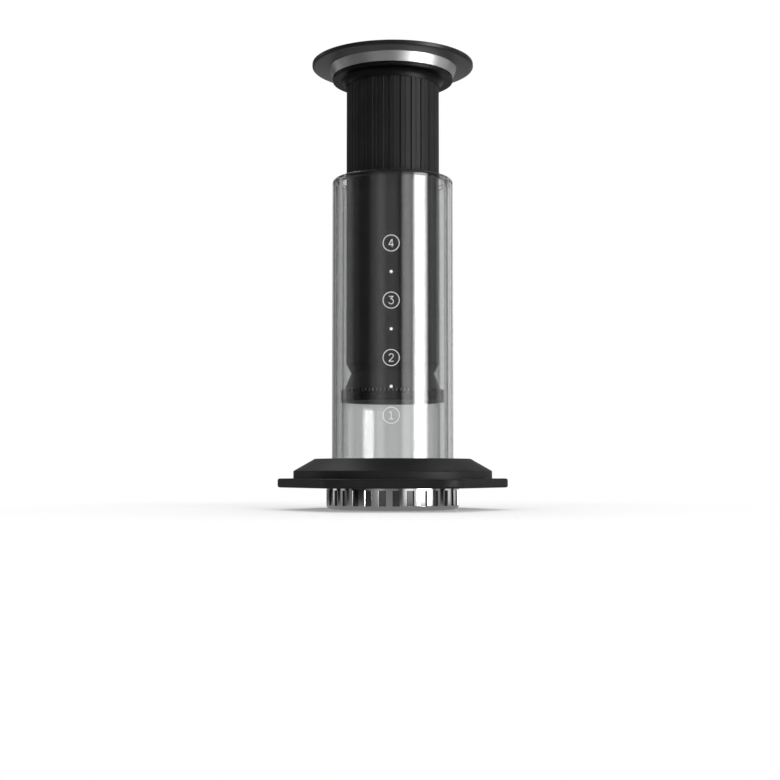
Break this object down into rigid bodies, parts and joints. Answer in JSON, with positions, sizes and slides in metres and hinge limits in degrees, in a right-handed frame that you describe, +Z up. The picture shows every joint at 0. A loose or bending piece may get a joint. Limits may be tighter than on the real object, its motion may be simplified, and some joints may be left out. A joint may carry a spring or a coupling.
{
  "type": "hand press coffee maker",
  "caption": "Hand press coffee maker: clear glass chamber on a black hexagonal base, ribbed steel filter cap below, black plunger with a fluted grip and a palm disc above.",
  "frame": {"origin": "middle of the filter cap's foot, at the bottom middle of the bounding box", "axes": "+Z up the plunger's axis, -Y towards the level marks, +X to the right as the marks are read"},
  "size_m": [0.1242, 0.1112, 0.2436],
  "materials": {
    "polished_steel": "polished",
    "filter_paper": "matte",
    "black_rubber": "matte",
    "black_plastic": "fine matte",
    "carrier_plastic": "satin",
    "screw_steel": "satin",
    "clear_glass": "clear",
    "white_enamel": "satin",
    "black_anodised": "satin anodised",
    "bright_aluminium": "brushed"
  },
  "bodies": {
    "cap": {"filter_cap": "polished_steel", "filter_disc": "filter_paper"},
    "gasket": {"spigot_gasket": "black_rubber"},
    "chamber": {"spigot": "black_plastic", "base_plate": "black_plastic", "base_hub": "black_plastic", "base_screws": "screw_steel", "foot_seal": "black_rubber", "wall_seal": "black_rubber", "hub_seal": "black_rubber", "chamber_glass": "clear_glass", "level_marks": "white_enamel"},
    "plunger": {"plunger_seal": "black_rubber", "seal_carrier": "carrier_plastic", "carrier_ring": "black_rubber", "plunger_tube": "black_anodised", "neck_collar": "black_anodised", "trim_ring": "bright_aluminium", "palm_disc": "black_anodised", "palm_screws": "screw_steel", "top_inlay": "black_rubber"}
  },
  "joints": [
    {"name": "chamber_lift", "type": "slide", "parent": "cap", "child": "gasket", "axis": [0, 0, 1], "range_m": [0, 0.0101]},
    {"name": "chamber_twist", "type": "hinge", "parent": "gasket", "child": "chamber", "pos_m": [0, 0, 0.01172], "axis": [0, 0, 1], "range_deg": [0, 150]},
    {"name": "plunger_slide", "type": "slide", "parent": "chamber", "child": "plunger", "axis": [0, 0, 1], "range_m": [-0.054, 0.125]}
  ],
  "couplings": [
    {"joint": "chamber_lift", "follows": "chamber_twist", "m_per_rad": 0.0038197}
  ]
}
